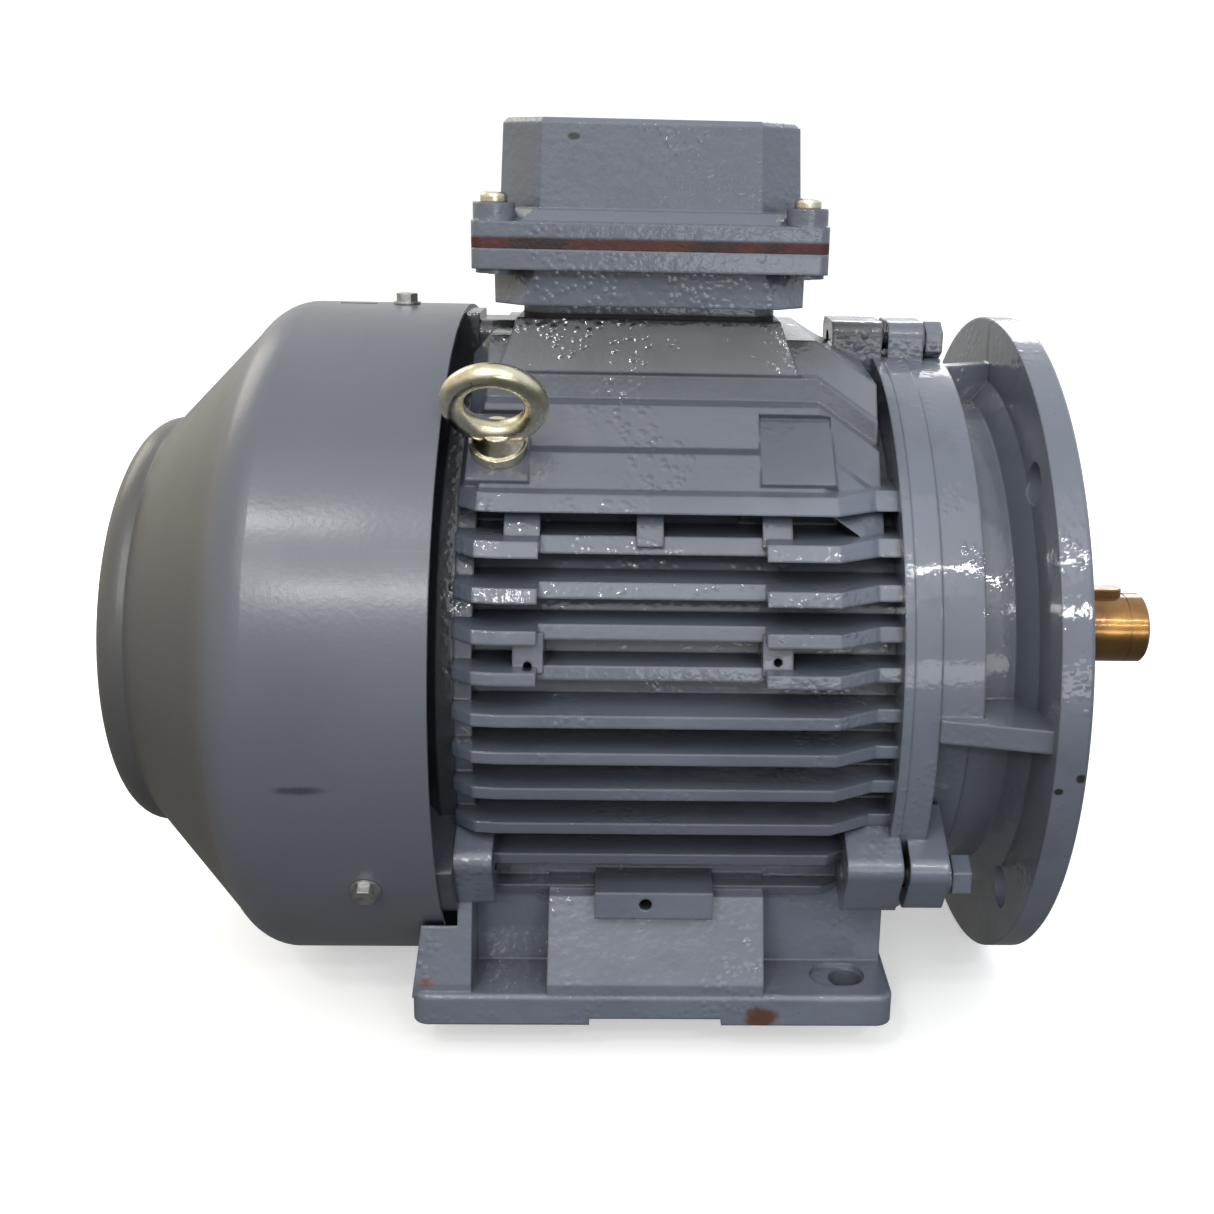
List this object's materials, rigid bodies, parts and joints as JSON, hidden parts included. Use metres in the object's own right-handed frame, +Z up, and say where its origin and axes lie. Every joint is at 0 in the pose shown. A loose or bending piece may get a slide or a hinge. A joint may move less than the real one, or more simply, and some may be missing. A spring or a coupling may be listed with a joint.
{
  "type": "electric motor",
  "caption": "Foot and flange mounted three-phase induction motor with finned cast frame, fan cowl, terminal box, keyed shaft and lifting eye.",
  "frame": {"origin": "centre of the shaft axis on the flange's mounting face", "axes": "+X along the shaft out of the drive end, +Z up from the feet, Y across the motor"},
  "size_m": [0.3955, 0.253, 0.3209],
  "materials": {
    "frame_paint": "hand-painted gloss over sand casting",
    "cowl_paint": "satin gloss paint on sheet steel",
    "painted_bolts": "painted over",
    "electrical_steel": "laminated",
    "copper": "varnished windings",
    "cast_aluminium": "cast",
    "shaft_steel": "turned, with amber rust-proof varnish",
    "key_steel": "drawn bar under varnish",
    "bearing_steel": "ground",
    "seal_rubber": "matt",
    "fan_plastic": "moulded",
    "zinc_steel": "dull zinc plate",
    "black_gasket": "matt",
    "red_gasket": "cut sheet",
    "yellow_zinc": "yellow passivated zinc",
    "brass": "plain",
    "board_plastic": "moulded"
  },
  "bodies": {
    "housing": {"stator_frame": "frame_paint", "drive_end_shield": "frame_paint", "nondrive_end_shield": "frame_paint", "terminal_box_base": "frame_paint", "terminal_box_lid": "frame_paint", "fan_cowl": "cowl_paint", "drive_shield_bolts": "painted_bolts", "drive_spring_washers": "painted_bolts", "nondrive_shield_bolts": "painted_bolts", "nondrive_spring_washers": "painted_bolts", "stator_core": "electrical_steel", "stator_winding": "copper", "drive_outer_race": "bearing_steel", "nondrive_outer_race": "bearing_steel", "preload_spring": "bearing_steel", "cowl_screws": "zinc_steel", "cowl_screw_washers": "zinc_steel", "box_seat_gasket": "black_gasket", "lid_gasket": "red_gasket", "box_fixing_screws": "yellow_zinc", "lid_screws": "yellow_zinc", "earth_screw": "brass", "terminal_board": "board_plastic", "terminal_studs": "brass", "terminal_nuts": "brass", "terminal_links": "brass", "lifting_eyebolt": "yellow_zinc"},
    "rotor": {"shaft": "shaft_steel", "shaft_key": "key_steel", "rotor_core": "electrical_steel", "rotor_cage": "cast_aluminium", "drive_inner_race": "bearing_steel", "nondrive_inner_race": "bearing_steel", "drive_shaft_seal": "seal_rubber", "nondrive_shaft_seal": "seal_rubber", "cooling_fan": "fan_plastic", "fan_key": "key_steel", "fan_circlip": "bearing_steel"},
    "drive_rolling_set": {"drive_balls": "bearing_steel", "drive_ball_cage": "bearing_steel"},
    "nondrive_rolling_set": {"nondrive_balls": "bearing_steel", "nondrive_ball_cage": "bearing_steel"}
  },
  "joints": [
    {"name": "rotor_spin", "type": "hinge", "parent": "housing", "child": "rotor", "pos_m": [0, 0, 0], "axis": [1, 0, 0], "continuous": true},
    {"name": "drive_cage_spin", "type": "hinge", "parent": "housing", "child": "drive_rolling_set", "pos_m": [-0.03, 0, 0], "axis": [1, 0, 0], "continuous": true},
    {"name": "nondrive_cage_spin", "type": "hinge", "parent": "housing", "child": "nondrive_rolling_set", "pos_m": [-0.216, 0, 0], "axis": [1, 0, 0], "continuous": true}
  ],
  "couplings": [
    {"joint": "drive_cage_spin", "follows": "rotor_spin", "ratio": 0.397},
    {"joint": "nondrive_cage_spin", "follows": "rotor_spin", "ratio": 0.397}
  ]
}
